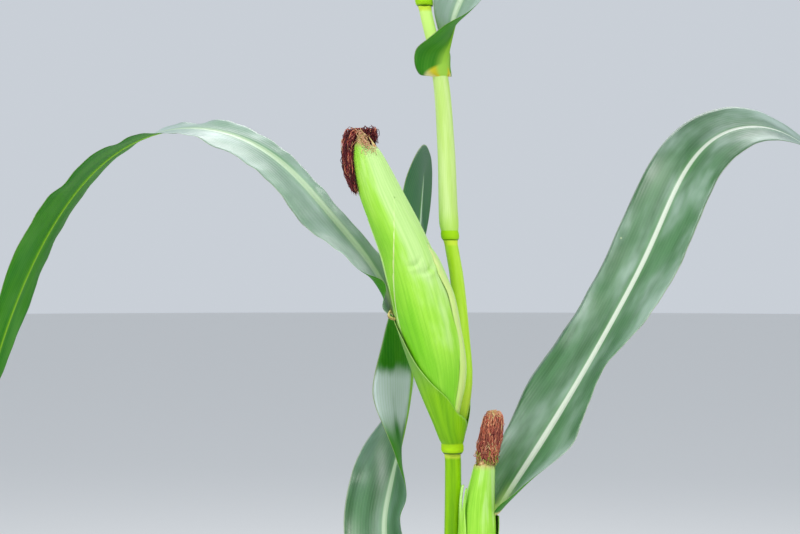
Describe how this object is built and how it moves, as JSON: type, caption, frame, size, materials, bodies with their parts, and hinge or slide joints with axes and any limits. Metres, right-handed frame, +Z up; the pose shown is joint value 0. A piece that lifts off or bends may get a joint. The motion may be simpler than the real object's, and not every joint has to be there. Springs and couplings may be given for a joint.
{
  "type": "maize plant",
  "caption": "Standing maize plant with arching strap leaves, husked ears with drying silk in their leaf sheaths, a branched tassel and brace roots.",
  "frame": {"origin": "middle of the flat cut under the stalk, at ground level", "axes": "+Z up along the stalk; the pictured side faces -Y, with the main ear leaning towards -X and the second ear on the +X side"},
  "size_m": [1.0886, 0.5288, 2.52],
  "materials": {
    "stalk": "smooth, slightly waxy green stalk",
    "sheath": "pale lime leaf sheath with fine veins",
    "leaf_blade": "blue-green upper side with a pale midrib, brighter green underside",
    "husk": "satin husk leaves with fine parallel veins",
    "silk": "drying maroon silk strands",
    "tassel": "straw and dull pink spikelets"
  },
  "bodies": {
    "root": {"leaf_01_blade": "leaf_blade", "leaf_01_sheath": "sheath", "leaf_01_tip": "leaf_blade", "leaf_02_blade": "leaf_blade", "leaf_02_sheath": "sheath", "leaf_02_tip": "leaf_blade", "leaf_03_blade": "leaf_blade", "leaf_03_sheath": "sheath", "leaf_03_tip": "leaf_blade", "leaf_04_blade": "leaf_blade", "leaf_04_sheath": "sheath", "leaf_04_tip": "leaf_blade", "leaf_05_blade": "leaf_blade", "leaf_05_sheath": "sheath", "leaf_05_tip": "leaf_blade", "leaf_06_blade": "leaf_blade", "leaf_06_sheath": "sheath", "leaf_06_tip": "leaf_blade", "leaf_07_blade": "leaf_blade", "leaf_07_sheath": "sheath", "leaf_07_tip": "leaf_blade", "leaf_08_blade": "leaf_blade", "leaf_08_sheath": "sheath", "leaf_08_tip": "leaf_blade", "leaf_09_blade": "leaf_blade", "leaf_09_sheath": "sheath", "leaf_09_tip": "leaf_blade", "leaf_10_blade": "leaf_blade", "leaf_10_sheath": "sheath", "leaf_10_tip": "leaf_blade", "leaf_11_blade": "leaf_blade", "leaf_11_sheath": "sheath", "leaf_11_tip": "leaf_blade", "leaf_12_blade": "leaf_blade", "leaf_12_sheath": "sheath", "leaf_12_tip": "leaf_blade", "main_ear_husk": "husk", "main_ear_silk": "silk", "second_ear_husk": "husk", "second_ear_silk": "silk", "stalk": "stalk", "tassel_branch_1": "tassel", "tassel_branch_2": "tassel", "tassel_branch_3": "tassel", "tassel_branch_4": "tassel", "tassel_branch_5": "tassel", "tassel_branch_6": "tassel", "tassel_branch_7": "tassel", "tassel_branch_8": "tassel", "tassel_branch_9": "tassel", "tassel_spike": "tassel"}
  },
  "joints": []
}
